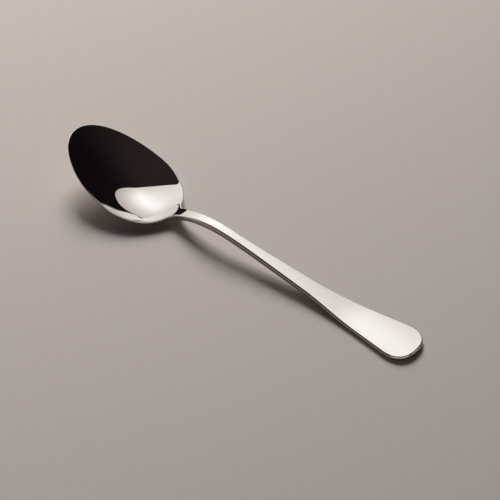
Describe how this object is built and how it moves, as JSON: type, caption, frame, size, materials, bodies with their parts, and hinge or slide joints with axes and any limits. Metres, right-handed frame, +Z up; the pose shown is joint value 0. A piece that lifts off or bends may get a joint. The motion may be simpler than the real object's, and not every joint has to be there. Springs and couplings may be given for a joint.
{
  "type": "dessert spoon",
  "caption": "Polished steel dessert spoon: an oval bowl, a narrow arched stem and a flared handle with a round end, for eating or serving.",
  "frame": {"origin": "on the table, under the middle of the spoon's length and width", "axes": "+X along the spoon from the bowl's tip to the handle's end, +Y across it, +Z up from the table it lies on"},
  "size_m": [0.185, 0.0394, 0.0212],
  "materials": {
    "polished_steel": "mirror-polished stainless steel, with no brushing to be seen"
  },
  "bodies": {
    "root": {"bowl": "polished_steel", "handle": "polished_steel"}
  },
  "joints": []
}
